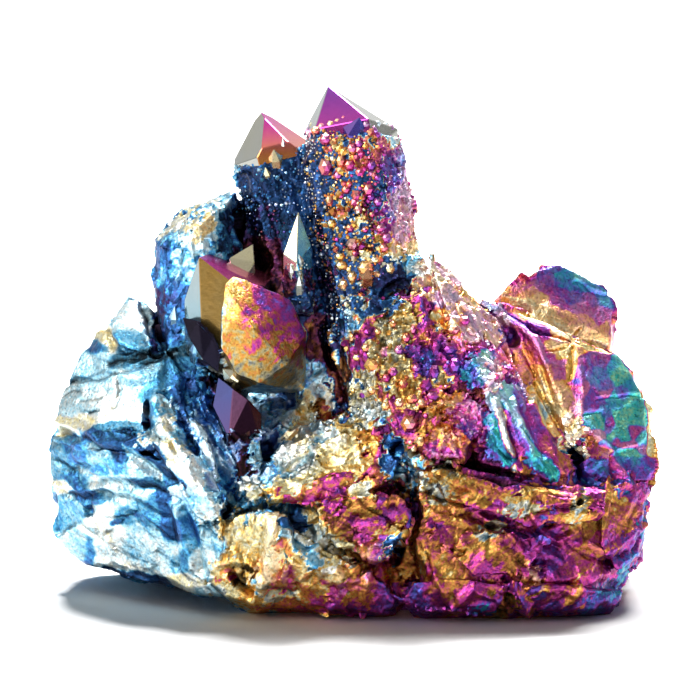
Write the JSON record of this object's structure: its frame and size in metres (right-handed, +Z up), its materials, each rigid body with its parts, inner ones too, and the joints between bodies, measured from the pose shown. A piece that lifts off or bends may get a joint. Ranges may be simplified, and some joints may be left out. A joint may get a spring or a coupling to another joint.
{
  "type": "aura quartz cluster",
  "caption": "Titanium-coated quartz cluster: hexagonal points grown together on a broken matrix, flat underneath to stand on a shelf.",
  "frame": {"origin": "on the flat resting face, under the middle of the cluster", "axes": "+X to the right along the cluster's length, -Y to the front, +Z up"},
  "size_m": [0.0801, 0.0443, 0.067],
  "materials": {
    "coated_quartz": "quartz under an opaque iridescent titanium film, satin on the broken matrix and glossy on the crystal faces"
  },
  "bodies": {
    "root": {"aura_quartz_cluster": "coated_quartz"}
  },
  "joints": []
}
